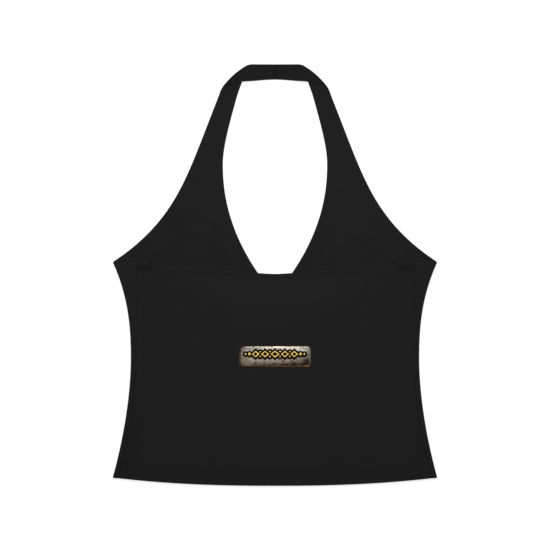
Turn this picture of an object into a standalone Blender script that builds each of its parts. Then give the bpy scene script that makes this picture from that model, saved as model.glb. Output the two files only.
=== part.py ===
"""A halter neck top in black stretch jersey, laid flat on its front.

Metres, +Z up. The top lies on the ground plane with its neck towards +Y, and
the origin is under the middle of it. The front panel is the lower layer. At
each side it turns over a fold and runs on as a strip to the side seam, where
it meets the back panel, which is the upper layer. Its two halter straps turn
over beside the neck and meet at the centre-back seam of the neck band.

Each piece of cloth is a wall of one thickness round a middle surface. It is
symmetric about the centre line, so one half is worked out, for x over 0.
"""
import math
from collections import namedtuple

import bmesh
import bpy
from mathutils import Vector

MM = 0.001
UP = Vector((0, 0, 1))

# ---------------------------------------------------------------- the cloth
WALL = 1.4 * MM
LAYER_GAP = 0.3 * MM            # air between two layers that lie on each other
SEAM_GAP = 0.3 * MM             # between the edges of two pieces at a seam
LAYER_STEP = WALL + LAYER_GAP   # from one layer's middle to the next one's
FOLD_RISE = 0.6 * MM            # how much fuller the upper layer is at a fold
FOLD_REACH = 9.0 * MM           # how far in from the fold it stays fuller
BEND_RADIUS = (LAYER_STEP + FOLD_RISE) / 2
FOLD_RADIUS = BEND_RADIUS + WALL / 2

# ----------------------------------------------------------- hem and sides
HEM_Y = -263.7 * MM             # lowest point of the hem, on the centre line
HEM_RISE = 10.3 * MM            # how much higher the hem is at its corners
HEM_POWER = 2.4
HEM_CORNER_Y = HEM_Y + HEM_RISE
HEM_HALF = 203.0 * MM
WAIST_Y = -105.8 * MM
WAIST_HALF = 180.4 * MM
HIP_FLARE = 23.3 * MM           # wider than the waist, HIP_DROP below it
HIP_DROP = 150 * MM
HIP_POWER = 1.78
BUST_FLARE = 13.9 * MM          # wider than the waist, BUST_LIFT above it
BUST_LIFT = 100 * MM
BUST_POWER = 2.46
UNDERARM_Y = 15.2 * MM

# How far the front reaches in from the side fold, to the side seam.
WRAP_HIP = 6.9 * MM
WRAP_UNDERARM = 22.2 * MM       # further than at the hip, at the underarm
WRAP_FROM_Y = -100 * MM
WRAP_POWER = 2.2

# ------------------------------------------------------- armhole and neck
STRAP_TOP_Y = 225 * MM          # the straps start to turn over above here
ARMHOLE_HALF = 70.2 * MM        # at STRAP_TOP_Y
ARMHOLE_SLOPE = 0.388
ARMHOLE_CURVE = 33.1 * MM       # wider than the slope, ARMHOLE_DEPTH below its start
ARMHOLE_CURVE_Y = 185.3 * MM
ARMHOLE_DEPTH = 150 * MM
ARMHOLE_POWER = 3.7
NECK_HALF = 65.2 * MM           # the neckline at its widest
NECK_WIDEST_Y = 138.2 * MM
NECK_CURVE = 36.8 * MM          # narrower than the widest, NECK_DEPTH below it
NECK_DEPTH = 125 * MM
NECK_POWER = 2.11
NECK_SLOPE = 0.304              # of the straps' inner edges, well above it
NECK_ROUNDING = 33.7 * MM
NECK_AT_UNDERARM_Y = 12 * MM    # where the row from the underarm meets the neckline

# The back panel's top edge is a shallow V, rounded at the centre.
BACK_TOP_Y = 1.4 * MM
BACK_TOP_SLOPE = 0.087
BACK_TOP_ROUNDING = 1.0 * MM

# --------------------------------------------------- the turn beside the neck
# Sections across the strap, in mm, from its straight part up to the turn.
TurnSection = namedtuple("TurnSection", "neck_x neck_y arm_x arm_y")
TURN = [
    TurnSection(44.7, 232.5, 69.4, 227.2),
    TurnSection(42.2, 239.4, 68.7, 229.0),
    TurnSection(40.1, 246.4, 68.1, 230.2),
    TurnSection(38.2, 253.2, 67.7, 231.0),
]
# The line that the strap is turned over on, which bows outwards. The strap
# crosses it aslant: per unit round the bend it moves this far along the line.
CORNER = TurnSection(35.6, 262.6, 65.5, 235.6)
CORNER_BULGE = 2.0 * MM
CORNER_SKEW_NECK = 1.5
CORNER_SKEW_ARM = 2.4

# Sections across the band, in mm, from the turn to the centre back.
BandSection = namedtuple("BandSection", "top_x top_y low_x low_y")
BAND = [
    BandSection(30.8, 263.2, 56.6, 239.3),
    BandSection(28.6, 263.4, 50.4, 240.5),
    BandSection(25.6, 263.5, 43.6, 241.4),
    BandSection(22.0, 263.6, 36.4, 241.9),
    BandSection(17.8, 263.7, 29.0, 242.4),
    BandSection(13.4, 263.7, 21.6, 243.0),
    BandSection(9.0, 263.7, 14.4, 243.6),
    BandSection(4.6, 263.7, 7.2, 244.0),
    BandSection(0.15, 263.7, 0.15, 244.2),
]
# The band comes down to the ground between the straps.
DROOP_START = 2.0 * MM          # inside the strap's inner edge
DROOP_END = 17.0 * MM

# ---------------------------------------------------------- the metal plate
PLATE_LENGTH = 91.4 * MM
PLATE_WIDTH = 26.0 * MM
PLATE_THICK = 1.5 * MM
PLATE_CORNER = 3.8 * MM
PLATE_BEVEL = 0.4 * MM
PLATE_Y = -102.0 * MM
PLATE_SEAT = 0.3 * MM           # between the back panel and the plate

# ------------------------------------------------- how finely each is divided
BODY_ROWS = 20                  # from the hem to the underarm
NECK_POINT_ROW = 17             # the body row that starts from the neckline's V
HALTER_ROWS = 20                # from the underarm to STRAP_TOP_Y
HALTER_GRADING = 1.15           # rows are closer together near the underarm
HALF_COLUMNS = 7                # from the centre or neckline to the outer edge
FOLD_STEPS = 6                  # round a turned fold
WRAP_COLUMNS = 3
BACK_COLUMNS = 11               # across half of the back panel
BACK_GRADING = 0.8              # columns are closer together near the side seam
PLATE_CORNER_STEPS = 5
SLOPE_STEP = 0.5 * MM
SHARP_ANGLE = math.radians(40)


# ------------------------------------------------------------- the outlines
def mix(start, end, part):
    return start + (end - start) * part


def hem_y(x):
    return HEM_Y + HEM_RISE * (x / HEM_HALF) ** HEM_POWER


def side_half(y):
    """Half-width of the laid body at its side fold."""
    if y > WAIST_Y:
        return WAIST_HALF + BUST_FLARE * ((y - WAIST_Y) / BUST_LIFT) ** BUST_POWER
    return WAIST_HALF + HIP_FLARE * ((WAIST_Y - y) / HIP_DROP) ** HIP_POWER


def side_outward(y):
    """Direction in plan that points straight out of the side fold."""
    slope = (side_half(y + SLOPE_STEP) - side_half(y - SLOPE_STEP)) / (2 * SLOPE_STEP)
    return Vector((1, -slope, 0)).normalized()


def seam_half(y):
    """Half-width at the side seam, on the upper layer."""
    rise = max(0.0, (y - WRAP_FROM_Y) / (UNDERARM_Y - WRAP_FROM_Y))
    return side_half(y) - WRAP_HIP - WRAP_UNDERARM * rise ** WRAP_POWER


def armhole_half(y):
    depth = max(0.0, (ARMHOLE_CURVE_Y - y) / ARMHOLE_DEPTH)
    straight = ARMHOLE_HALF + ARMHOLE_SLOPE * (STRAP_TOP_Y - y)
    return straight + ARMHOLE_CURVE * depth ** ARMHOLE_POWER


def neckline_half(y):
    if y < NECK_WIDEST_Y:
        return NECK_HALF - NECK_CURVE * ((NECK_WIDEST_Y - y) / NECK_DEPTH) ** NECK_POWER
    rise = math.hypot(y - NECK_WIDEST_Y, NECK_ROUNDING) - NECK_ROUNDING
    return NECK_HALF - NECK_SLOPE * rise


def neck_point_y():
    """Height at which the two sides of the V neckline meet."""
    return NECK_WIDEST_Y - NECK_DEPTH * (NECK_HALF / NECK_CURVE) ** (1 / NECK_POWER)


def back_top_y(x):
    v_rise = math.hypot(BACK_TOP_ROUNDING, BACK_TOP_SLOPE * x) - BACK_TOP_ROUNDING
    return BACK_TOP_Y + v_rise


def seam_point(part):
    """The side seam in plan, from the hem at part 0 to the underarm at part 1."""
    x = seam_half(mix(HEM_CORNER_Y, UNDERARM_Y, part))
    return Vector((x, mix(hem_y(x), back_top_y(x), part), 0))


def fuller(from_fold):
    """How much higher the upper layer lies, at a distance in from a fold."""
    inside = max(0.0, from_fold - FOLD_RADIUS)
    return FOLD_RISE * math.exp(-(inside / FOLD_REACH) ** 2)


def upper_middle(from_fold):
    """Height of the upper layer's middle surface."""
    return WALL / 2 + LAYER_STEP + fuller(from_fold)


# ----------------------------------------------------------- walls of cloth
# A station is a point on the middle surface and the direction out of the
# cloth's right side there. A row is the stations of one half, outwards.
def lower_row(inner, outer, power=1.0):
    """A row of the lower layer, right side down, between two points in plan.

    With a power over 1 it bows, as the hem does.
    """
    row = []
    for column in range(HALF_COLUMNS + 1):
        part = column / HALF_COLUMNS
        x = mix(inner.x, outer.x, part)
        y = mix(inner.y, outer.y, part ** power)
        row.append((Vector((x, y, WALL / 2)), -UP))
    return row


def bend_station(edge, outward, angle):
    """A station round a turned fold whose outermost point in plan is edge.

    The angle runs from a quarter turn down, where the lower layer starts, to
    a quarter turn up, where the upper layer does.
    """
    plan = edge + outward * (BEND_RADIUS * math.cos(angle) - FOLD_RADIUS)
    height = WALL / 2 + BEND_RADIUS * (1 + math.sin(angle))
    out = outward * math.cos(angle) + UP * math.sin(angle)
    return Vector((plan.x, plan.y, height)), out


def bend_angle(step):
    return math.pi * (step / FOLD_STEPS - 0.5)


def body_row(part, inner, power):
    """A row of the front, from its inner point round the side fold to the seam."""
    y = mix(HEM_CORNER_Y, UNDERARM_Y, part)
    edge = Vector((side_half(y), y, 0))
    outward = side_outward(y)
    row = lower_row(inner, edge - outward * FOLD_RADIUS, power)
    for step in range(1, FOLD_STEPS + 1):
        row.append(bend_station(edge, outward, bend_angle(step)))
    start = edge - outward * FOLD_RADIUS
    seam = seam_point(part) + Vector((SEAM_GAP / 2, 0, 0))
    for column in range(1, WRAP_COLUMNS + 1):
        plan = start.lerp(seam, column / WRAP_COLUMNS)
        plan.z = upper_middle(side_half(plan.y) - plan.x)
        row.append((plan, UP))
    return row


def body_rows():
    """The front from the hem up to the underarm."""
    rows = []
    neck_point = neck_point_y()
    for number in range(BODY_ROWS + 1):
        if number <= NECK_POINT_ROW:
            inner = Vector((0, mix(HEM_Y, neck_point, number / NECK_POINT_ROW), 0))
        else:
            above = (number - NECK_POINT_ROW) / (BODY_ROWS - NECK_POINT_ROW)
            y = mix(neck_point, NECK_AT_UNDERARM_Y, above)
            inner = Vector((neckline_half(y), y, 0))
        rows.append(body_row(number / BODY_ROWS, inner, HEM_POWER))
    return rows


def halter_rows():
    """The front from the underarm up to where the straps start to turn."""
    rows = []
    for number in range(1, HALTER_ROWS + 1):
        part = number / HALTER_ROWS
        neck_y = mix(NECK_AT_UNDERARM_Y, STRAP_TOP_Y, part)
        arm_y = mix(UNDERARM_Y, STRAP_TOP_Y, part ** HALTER_GRADING)
        inner = Vector((neckline_half(neck_y), neck_y, 0))
        outer = Vector((armhole_half(arm_y), arm_y, 0))
        rows.append(lower_row(inner, outer))
    return rows


def corner_line():
    """The turned fold's two ends in plan, its direction, and the way out of it."""
    neck = Vector((CORNER.neck_x, CORNER.neck_y, 0)) * MM
    arm = Vector((CORNER.arm_x, CORNER.arm_y, 0)) * MM
    along = (arm - neck).normalized()
    return neck, arm, along, Vector((-along.y, along.x, 0))


def corner_bow(part):
    return CORNER_BULGE * 4 * part * (1 - part)


def turn_rows():
    """The strap's sections up to the turn, bowing more and more as its line does."""
    bow_out = corner_line()[3]
    rows = []
    for number, section in enumerate(TURN, start=1):
        inner = Vector((section.neck_x, section.neck_y, 0)) * MM
        outer = Vector((section.arm_x, section.arm_y, 0)) * MM
        strength = (number / (len(TURN) + 1)) ** 2
        row = []
        for column, (point, out) in enumerate(lower_row(inner, outer)):
            bow = bow_out * corner_bow(column / HALF_COLUMNS) * strength
            row.append((point + bow, out))
        rows.append(row)
    return rows


def corner_rows():
    """The bend that turns the strap over into the band."""
    neck, arm, along, across = corner_line()
    length = (arm - neck).length
    rows = []
    for step in range(FOLD_STEPS + 1):
        angle = bend_angle(step)
        row = []
        for column in range(HALF_COLUMNS + 1):
            part = column / HALF_COLUMNS
            skew = mix(CORNER_SKEW_NECK, CORNER_SKEW_ARM, part)
            part -= skew * BEND_RADIUS * angle / length
            edge = neck + along * length * part + across * corner_bow(part)
            tangent = along * length + across * CORNER_BULGE * 4 * (1 - 2 * part)
            outward = Vector((-tangent.y, tangent.x, 0)).normalized()
            row.append(bend_station(edge, outward, angle))
        rows.append(row)
    return rows


def strap_edge_x(y):
    """Half-width of the strap's inner edge where the band lies over it."""
    sections = TURN + [CORNER]
    for low, high in zip(sections, sections[1:]):
        if y <= high.neck_y * MM:
            part = max(0.0, (y / MM - low.neck_y) / (high.neck_y - low.neck_y))
            return mix(low.neck_x, high.neck_x, part) * MM
    return CORNER.neck_x * MM


def band_level(point):
    """1 where the band lies on the strap, falling to 0 where it is on the ground."""
    inside = strap_edge_x(point.y) - point.x
    part = (inside - DROOP_START) / (DROOP_END - DROOP_START)
    part = min(1.0, max(0.0, part))
    return 1 - part * part * (3 - 2 * part)


def band_rows():
    """The band from the turn to the centre-back neck seam."""
    neck, _, _, across = corner_line()
    rows = []
    for section in BAND:
        top = Vector((section.top_x, section.top_y, 0)) * MM
        low = Vector((section.low_x, section.low_y, 0)) * MM
        row = []
        for column in range(HALF_COLUMNS + 1):
            plan = top.lerp(low, column / HALF_COLUMNS)
            from_fold = (neck - plan).dot(across)
            lift = band_level(plan) * (LAYER_STEP + fuller(from_fold))
            plan.z = WALL / 2 + lift
            row.append((plan, UP))
        rows.append(row)
    return rows


def back_rows():
    rows = []
    for number in range(BODY_ROWS + 1):
        part = number / BODY_ROWS
        half = seam_point(part).x - SEAM_GAP / 2
        row = []
        for column in range(BACK_COLUMNS + 1):
            x = half * (column / BACK_COLUMNS) ** BACK_GRADING
            y = mix(hem_y(x), back_top_y(x), part)
            row.append((Vector((x, y, upper_middle(side_half(y) - x))), UP))
        rows.append(row)
    return rows


def mirrored(vector, side):
    return Vector((side * vector.x, vector.y, vector.z))


def cloth_mesh(name, rows):
    """A closed wall round the rows of one half and their mirror image.

    Two neighbouring rows are joined along the columns that both have, and
    stations on the centre line belong to both halves. Each cell is one face
    on either side of the wall, and the rim closes each edge of a single cell.
    """
    numbers = {}
    stations = []
    for side in (1, -1):
        for r, row in enumerate(rows):
            for c, (point, out) in enumerate(row):
                if side == -1 and point.x == 0:
                    numbers[side, r, c] = numbers[1, r, c]
                    continue
                numbers[side, r, c] = len(stations)
                stations.append((mirrored(point, side), mirrored(out, side)))

    rings = []
    for side in (1, -1):
        for r in range(len(rows) - 1):
            shared = min(len(rows[r]), len(rows[r + 1]))
            for c in range(shared - 1):
                corners = ((r, c), (r, c + 1), (r + 1, c + 1), (r + 1, c))
                ring = [numbers[side, i, j] for i, j in corners]
                a, b, _, d = (stations[n][0] for n in ring)
                faces_out = (b - a).cross(d - a).dot(stations[ring[0]][1]) > 0
                rings.append(ring if faces_out else ring[::-1])

    count = len(stations)
    used = set()
    for ring in rings:
        used.update(zip(ring, ring[1:] + ring[:1]))
    faces = rings + [[count + n for n in reversed(ring)] for ring in rings]
    for a, b in sorted(used):
        if (b, a) not in used:
            faces.append([b, a, count + a, count + b])
    points = [point + out * (WALL / 2) for point, out in stations]
    points += [point - out * (WALL / 2) for point, out in stations]

    mesh = bpy.data.meshes.new(name)
    mesh.from_pydata(points, [], faces)
    mesh.validate()
    mesh.shade_smooth()
    mesh.set_sharp_from_angle(angle=SHARP_ANGLE)
    return mesh


# ------------------------------------------------------------ the plate
def rounded_outline(length, width, radius):
    """A rectangle with round corners, counter-clockwise about the origin."""
    centres = [
        (length / 2 - radius, width / 2 - radius),
        (radius - length / 2, width / 2 - radius),
        (radius - length / 2, radius - width / 2),
        (length / 2 - radius, radius - width / 2),
    ]
    outline = []
    for quarter, (x, y) in enumerate(centres):
        for step in range(PLATE_CORNER_STEPS + 1):
            angle = math.pi / 2 * (quarter + step / PLATE_CORNER_STEPS)
            outline.append((x + radius * math.cos(angle), y + radius * math.sin(angle)))
    return outline


def plate_mesh(name):
    """A flat plate whose upper rim is bevelled."""
    inset = 2 * PLATE_BEVEL
    full = rounded_outline(PLATE_LENGTH, PLATE_WIDTH, PLATE_CORNER)
    face = rounded_outline(PLATE_LENGTH - inset, PLATE_WIDTH - inset, PLATE_CORNER - PLATE_BEVEL)
    levels = [(full, 0.0), (full, PLATE_THICK - PLATE_BEVEL), (face, PLATE_THICK)]
    bm = bmesh.new()
    rings = [[bm.verts.new((x, y, z)) for x, y in outline] for outline, z in levels]
    bm.faces.new(rings[0][::-1])
    bm.faces.new(rings[-1])
    for lower, upper in zip(rings, rings[1:]):
        for i in range(len(lower)):
            j = (i + 1) % len(lower)
            bm.faces.new((lower[i], lower[j], upper[j], upper[i]))
    mesh = bpy.data.meshes.new(name)
    bm.to_mesh(mesh)
    bm.free()
    return mesh


# ------------------------------------------------------------- the pieces
def material(name, colour, roughness, metallic):
    made = bpy.data.materials.new(name)
    made.use_nodes = True
    shader = made.node_tree.nodes["Principled BSDF"]
    shader.inputs["Base Color"].default_value = colour
    shader.inputs["Roughness"].default_value = roughness
    shader.inputs["Metallic"].default_value = metallic
    return made


def piece(mesh, finish, parent, location=(0, 0, 0)):
    mesh.materials.append(finish)
    made = bpy.data.objects.new(mesh.name, mesh)
    bpy.context.collection.objects.link(made)
    made.location = location
    made.parent = parent
    return made


def main():
    for old in list(bpy.data.objects):
        bpy.data.objects.remove(old, do_unlink=True)
    top = bpy.data.objects.new("halter_top", None)
    bpy.context.collection.objects.link(top)

    jersey = material("black_jersey", (0.0137, 0.0137, 0.0142, 1), 0.85, 0.0)
    pewter = material("aged_pewter", (0.17, 0.14, 0.11, 1), 0.45, 1.0)

    front = body_rows() + halter_rows() + turn_rows() + corner_rows() + band_rows()
    piece(cloth_mesh("front_panel", front), jersey, top)
    piece(cloth_mesh("back_panel", back_rows()), jersey, top)
    plate_z = upper_middle(WAIST_HALF) + WALL / 2 + PLATE_SEAT
    piece(plate_mesh("name_plate"), pewter, top, (0, PLATE_Y, plate_z))


main()
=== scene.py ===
"""How a halter neck top in black stretch jersey looks, laid flat on its front.

Metres, +Z up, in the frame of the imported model, with the neck towards +Y. The
front panel is the lower layer, right side down. At each side it turns over a
fold and runs on to the side seam, where it meets the back panel, the upper
layer. Its two halter straps turn over beside the neck and meet at the
centre-back seam of the band.

Each panel starts as rows of points on the middle surface of its cloth, for the
half with x over 0, and is mirrored. Creases lift it, and a wall with round
edges is laid about it.
"""
import math
from collections import namedtuple

import bpy
import numpy as np
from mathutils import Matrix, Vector, noise


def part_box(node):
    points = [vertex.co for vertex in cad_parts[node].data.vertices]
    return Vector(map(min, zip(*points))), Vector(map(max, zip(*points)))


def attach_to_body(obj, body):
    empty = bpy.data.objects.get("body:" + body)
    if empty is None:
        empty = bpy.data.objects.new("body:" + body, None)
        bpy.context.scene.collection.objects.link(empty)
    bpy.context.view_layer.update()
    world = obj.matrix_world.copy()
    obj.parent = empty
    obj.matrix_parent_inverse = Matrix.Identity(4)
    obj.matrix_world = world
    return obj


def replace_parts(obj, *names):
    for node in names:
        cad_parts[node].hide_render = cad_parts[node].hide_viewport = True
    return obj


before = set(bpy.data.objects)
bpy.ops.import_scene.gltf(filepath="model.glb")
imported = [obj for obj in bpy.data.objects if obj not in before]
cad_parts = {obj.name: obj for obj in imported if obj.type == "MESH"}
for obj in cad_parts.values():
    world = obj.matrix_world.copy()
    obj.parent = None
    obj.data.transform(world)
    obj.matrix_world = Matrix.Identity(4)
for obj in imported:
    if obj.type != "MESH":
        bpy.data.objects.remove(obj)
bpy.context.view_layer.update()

MM = 0.001


def table(kind, *rows):
    return [kind(*row) for row in rows]


# ---- the cloth
WALL = 1.4 * MM
EDGE = WALL / 2  # radius of its round edges
LAYER_GAP = 0.3 * MM  # air between two layers
SEAM_GAP = 0.3 * MM  # between the edges of two pieces at a seam
LAYER_STEP = WALL + LAYER_GAP  # from one layer's middle to the next's
LOWER_Z = WALL / 2  # the lower layer's middle
FOLD_RISE = 0.6 * MM  # how much fuller the upper layer is at a fold
FOLD_REACH = 9 * MM  # how far in it stays fuller
PRESSED_REACH = 2 * MM  # and at the lower edge of the neck band
BEND_RADIUS = (LAYER_STEP + FOLD_RISE) / 2  # of a fold's middle surface
FOLD_RADIUS = BEND_RADIUS + WALL / 2  # of its outer surface

# ---- hem and sides
# A curve adds nothing up to its start, then grows by a power, to its size at its reach.
Curve = namedtuple("Curve", "size start reach power")

HEM_Y = -263.7 * MM  # lowest point of the hem, on the centre line
HEM_HALF = 203 * MM
HEM_RISE = Curve(10.3 * MM, 0, HEM_HALF, 2.4)  # of the hem, outwards
WAIST_Y = -105.8 * MM
WAIST_HALF = 180.4 * MM
HIP_FLARE = Curve(23.3 * MM, WAIST_Y, -150 * MM, 1.78)
BUST_FLARE = Curve(13.9 * MM, WAIST_Y, 100 * MM, 2.46)
UNDERARM_Y = 15.2 * MM - EDGE

# How far the front reaches in from the side fold, to the side seam.
WRAP_HIP = 6.9 * MM
WRAP_WIDER = Curve(22.2 * MM, -100 * MM, UNDERARM_Y + 100 * MM, 2.2)

# ---- armhole and neck
STRAP_TOP_Y = 225 * MM  # the straps start to turn over above here
ARMHOLE_HALF = 70.2 * MM  # at STRAP_TOP_Y
ARMHOLE_SLOPE = 0.388
ARMHOLE_FLARE = Curve(33.1 * MM, 185.3 * MM, -150 * MM, 3.7)
NECK_HALF = 65.2 * MM  # the neckline at its widest
NECK_TAPER = Curve(36.8 * MM, 138.2 * MM, -125 * MM, 2.11)  # narrower below its start
NECK_SLOPE = 0.304  # of the straps' inner edges, well above it
NECK_ROUNDING = 33.7 * MM
NECK_AT_UNDERARM_Y = 12 * MM  # where the underarm's row meets the neckline
NECK_POINT_PART = 0.85  # of the way up to that row, the V's point

# The back panel's top edge is a shallow V, rounded at the centre.
BACK_TOP_Y = 1.4 * MM
BACK_TOP_SLOPE = 0.087
BACK_TOP_ROUNDING = 1 * MM

# ---- the turn beside the neck
# Sections across the strap, in mm, up to the line that it is turned over on, and
# on across the band to the seam at the centre back. The edge that was beside the
# neck is the band's upper edge, and the armhole's edge its lower one.
Section = namedtuple("Section", "neck_x neck_y arm_x arm_y")
TURN = table(Section,
    (44.7, 232.5, 69.4, 227.2),
    (42.2, 239.4, 68.7, 229),
    (40.1, 246.4, 68.1, 230.2),
    (38.2, 253.2, 67.7, 231),
)
TURN_LEAD = 0.03  # part of the strap above the row that leads into these
CORNER = Section(35.6, 262.2, 65.5, 235.6)
CORNER_BULGE = 2 * MM  # how far this line bows outwards
CORNER_NECK, CORNER_ARM = np.reshape(CORNER, (2, 2)) * MM
CORNER_LENGTH = math.dist(CORNER_NECK, CORNER_ARM)
CORNER_ALONG = (CORNER_ARM - CORNER_NECK) / CORNER_LENGTH
CORNER_OUT = np.array([-CORNER_ALONG[1], CORNER_ALONG[0]])
# The strap crosses it aslant: per unit round the bend it moves this far along it.
CORNER_SKEW_NECK = 1.5
CORNER_SKEW_ARM = 2.4

BAND = table(Section,
    (30.8, 263, 56.6, 239.3),
    (28.6, 263.3, 50.4, 240.6),
    (25.6, 263.5, 43.6, 241.7),
    (22, 263.6, 36.4, 242.3),
    (17.8, 263.7, 29, 242.8),
    (13.4, 263.7, 21.6, 243.4),
    (9, 263.7, 14.4, 244),
    (4.6, 263.7, 7.2, 244.4),
    (0.85, 263.7, 0.85, 244.6),
)
# The band comes down to the ground between the straps.
DROOP_START = 2 * MM  # inside the strap's inner edge
DROOP_END = 17 * MM
# Its lower edge is pressed thinner where it lies on the strap.
PRESS_SHARE = 0.5  # of its height above PRESS_BASE that is left
PRESS_BASE = WALL + LAYER_GAP / 3
PRESS_WIDTH = 5 * MM
PRESS_FROM_X = 40 * MM

# ---- the creases
# Soft ridges in the cloth, in mm: the line that each follows from 0 to 1, how
# far the middle of it bows to its left, its half-width and its height. A notch
# is the share of the height that a trough along its middle takes away again.
Crease = namedtuple("Crease", "x0 y0 x1 y1 bow width height notch", defaults=[0])
# Through both layers, or in the front alone where it lies open.
LOWER_CREASES = table(Crease,
    (-160, 5, -142, 38, 1, 5.6, 2.4, 0.9),
    (163, 5, 139, 38, -2, 5.6, 2.4, 0.9),
    (-114, 53, -77, 50, 2, 5, 1),
    (-81, 82, -73, 46, 2, 6, 0.8),
    (-77, 46, -49, 6, 3, 5.5, 1.3),
    (126, 51, 89, 53, 2, 6, 1.2),
    (92, 43, 52, 4, -5, 5.5, 1.3),
    (-104, 92, -66, 112, 5, 9, 0.7),
    (100, 84, 72, 116, -4, 10, 0.8),
    (-70, 176, -88, 150, 3, 6, 0.5),
    (74, 182, 84, 140, -3, 7, 0.5),
)
# In the upper layer alone.
UPPER_CREASES = table(Crease,
    (-173, 13.5, -154, 13, 0, 4.6, 2.3),
    (174, 13.5, 153, 13, 0, 4.6, 2.4),
    (-182, 6, -175, 8, 0, 4.5, 1.3),
    (184, 8, 176, 8, 0, 4.5, 1.1),
    (-126, -12, -124, -30, 1, 4, 0.9),
    (114, 0, 118, -14, 1, 4, 0.9),
    (127, -14, 125, -28, -1, 4, 0.8),
    (96, -14, 95, -44, 2, 4.5, 1),
    (-140, -180, -136, -196, 1, 6, 0.5),
    (-108, -222, -112, -236, 1, 5, 0.5),
    (-60, -150, 20, -190, 12, 18, 0.5),
    (60, -200, 160, -214, -8, 14, 0.6),
    (92, -246, 172, -237, 0, 5, 1),
    (-165, -60, -152, -130, 5, 9, 0.6),
    (166, -70, 158, -140, -5, 9, 0.6),
)
NOTCH_NARROWER = 3  # a crease is this many times as wide as its notch
CREASE_FADE = 1.6  # how sharply a crease ends

LOFT = 0.7 * MM  # air under the back panel, away from its edges
LOFT_FADE = 28 * MM
LOFT_UNEVEN = 0.35  # share of it that comes and goes in slow waves
LOFT_WAVE_X = 31 * MM
LOFT_WAVE_Y = 24 * MM
PUCKER = 0.13 * MM  # the cloth beside a line of sewing gathers this much
PUCKER_WAVE = 8.5 * MM
PUCKER_DRIFT = 1.4  # in radians, how early or late its waves come
PUCKER_DRIFT_WAVE = 17 * MM
PUCKER_SWELL = 0.4  # share of its height that comes and goes
PUCKER_SWELL_WAVE = 29 * MM
PUCKER_REACH = 4.5 * MM
HEM_PUCKER_SHIFT = 7 * MM  # so that its waves aren't those of the top edge
ROLL_IN = 1.3 * MM  # the back's top edge is rolled: its ridge, this far in
ROLL_HALF = 1.1 * MM
ROLL_HEIGHT = 0.2 * MM
ROLL_END = 138 * MM
ROLL_END_FADE = 14 * MM
PLATE_HOLD = 2 * MM  # how far round it the plate keeps the cloth flat
PLATE_HOLD_FADE = 16 * MM

# ---- sewing
TOP_STITCH_IN = 5 * MM  # from the back panel's top edge
TOP_STITCH_SHORT = 3 * MM  # its stitches end this far from the side seam
HEM_STITCH_UP = 19 * MM  # from the hem's edge
HEM_STITCH_SHORT = 2 * MM
NEEDLE_STEP = 2.6 * MM  # one stitch and the gap after it
STITCH_SHARE = 0.82  # of that step that the thread lies on top
THREAD_RADIUS = 0.17 * MM
STITCH_SINK = 0.12 * MM  # how deep its ends go in
STITCH_THIN = 0.25  # share of its radius lost towards its ends
STITCH_POINTS = 5  # along each stitch

SEAM_THREAD_RADIUS = 0.4 * MM  # of the sewing that shows in a seam
SEAM_THREAD_SINK = 0.4 * MM  # below the middle of the cloth, at the underarm
NECK_THREAD_RADIUS = 0.5 * MM
NECK_THREAD_SINK = 0.2 * MM
SIDE_THREAD_POINTS = 141
NECK_THREAD_POINTS = 14

# ---- the knitting
WALE = 0.55 * MM  # width of one column of loops
COURSE = 0.42 * MM  # height of one loop
LOOP_SLANT = 1.3  # courses that a loop's leg climbs per wale
LOOP_DEPTH = 0.2  # share of the height that a wave along each wale adds and takes
PURL_ARC = 0.22  # of a course, how far a purl loop's arc rises and falls
PURL_DEPTH = 0.4

# Painted light and shade on the black cloth: darker where shade falls, at the neck seam, the hem,
# the lower sides and corners and by the underarms, and lighter in patches on the front's inside
# and across the back's upper middle, where light falls. Each gives the middle and reach of its
# place in mm, and the share of the colour that it adds.
Fade = namedtuple("Fade", "x y reach_x reach_y share")
CLOTH_PAINTED_LIGHT = table(Fade,
    (0, 254, 90, 22, -0.2),
    (0.2, 254, 1.7, 40, -0.5),
    (-74, 112, 34, 60, 0.12),
    (82, 118, 34, 65, 0.12),
    (-118, 66, 22, 12, -0.06),
    (0, -20, 90, 20, 0.17),
    (0, -270, 400, 40, -0.13),
    (-180, -160, 20, 130, -0.14),
    (186, -110, 16, 150, -0.11),
    (-122, -12, 45, 26, -0.06),
    (130, -10, 45, 30, -0.07),
    (-50, -170, 70, 30, -0.04),
    (120, -240, 80, 16, -0.06),
    (-196, -235, 26, 60, -0.1),
    (200, -245, 22, 40, -0.1),
    (-163, 8, 11, 4, -0.14),
    (163, 8, 12, 4, -0.14),
)

# ---- the metal plate
PLATE_LOW, PLATE_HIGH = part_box("name_plate")
PLATE_Y = (PLATE_LOW.y + PLATE_HIGH.y) / 2
PLATE_END_WORN = 0.6 * MM  # worn off its length at each end
PLATE_HALF_X = PLATE_HIGH.x - PLATE_END_WORN
PLATE_HALF_Y = PLATE_HIGH.y - PLATE_Y
PLATE_SINK = 0.25 * MM  # the metal reaches down to the cloth
PLATE_CORNER = 5.4 * MM
LEAST_CORNER = 0.2 * MM  # of the rings inside its rim
PLATE_BEVEL = 1.6 * MM  # width of the worn round along its upper rim
PLATE_DROP = 0.5 * MM  # height of that round
PLATE_DOME = 0.8 * MM  # how much higher its middle is than its rim
UNDER_BEVEL_IN = 0.4 * MM  # the bevel along its lower rim
UNDER_BEVEL_UP = 0.2 * MM
DENT_SIZE = 4 * MM
DENT_DEPTH = 0.1 * MM
DENT_SEED = 0.5
RIM_WEAR = 0.18 * MM  # how uneven the plate's outline is
RIM_WEAR_REACH = 2 * MM
RIM_WEAR_SEED = 7.5
STAIN = (39 * MM, PLATE_LOW.y + 6 * MM, PLATE_HIGH.z)
DARKEST_METAL = 0.08  # the least of its colour that the painted light and shade below leave
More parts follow.
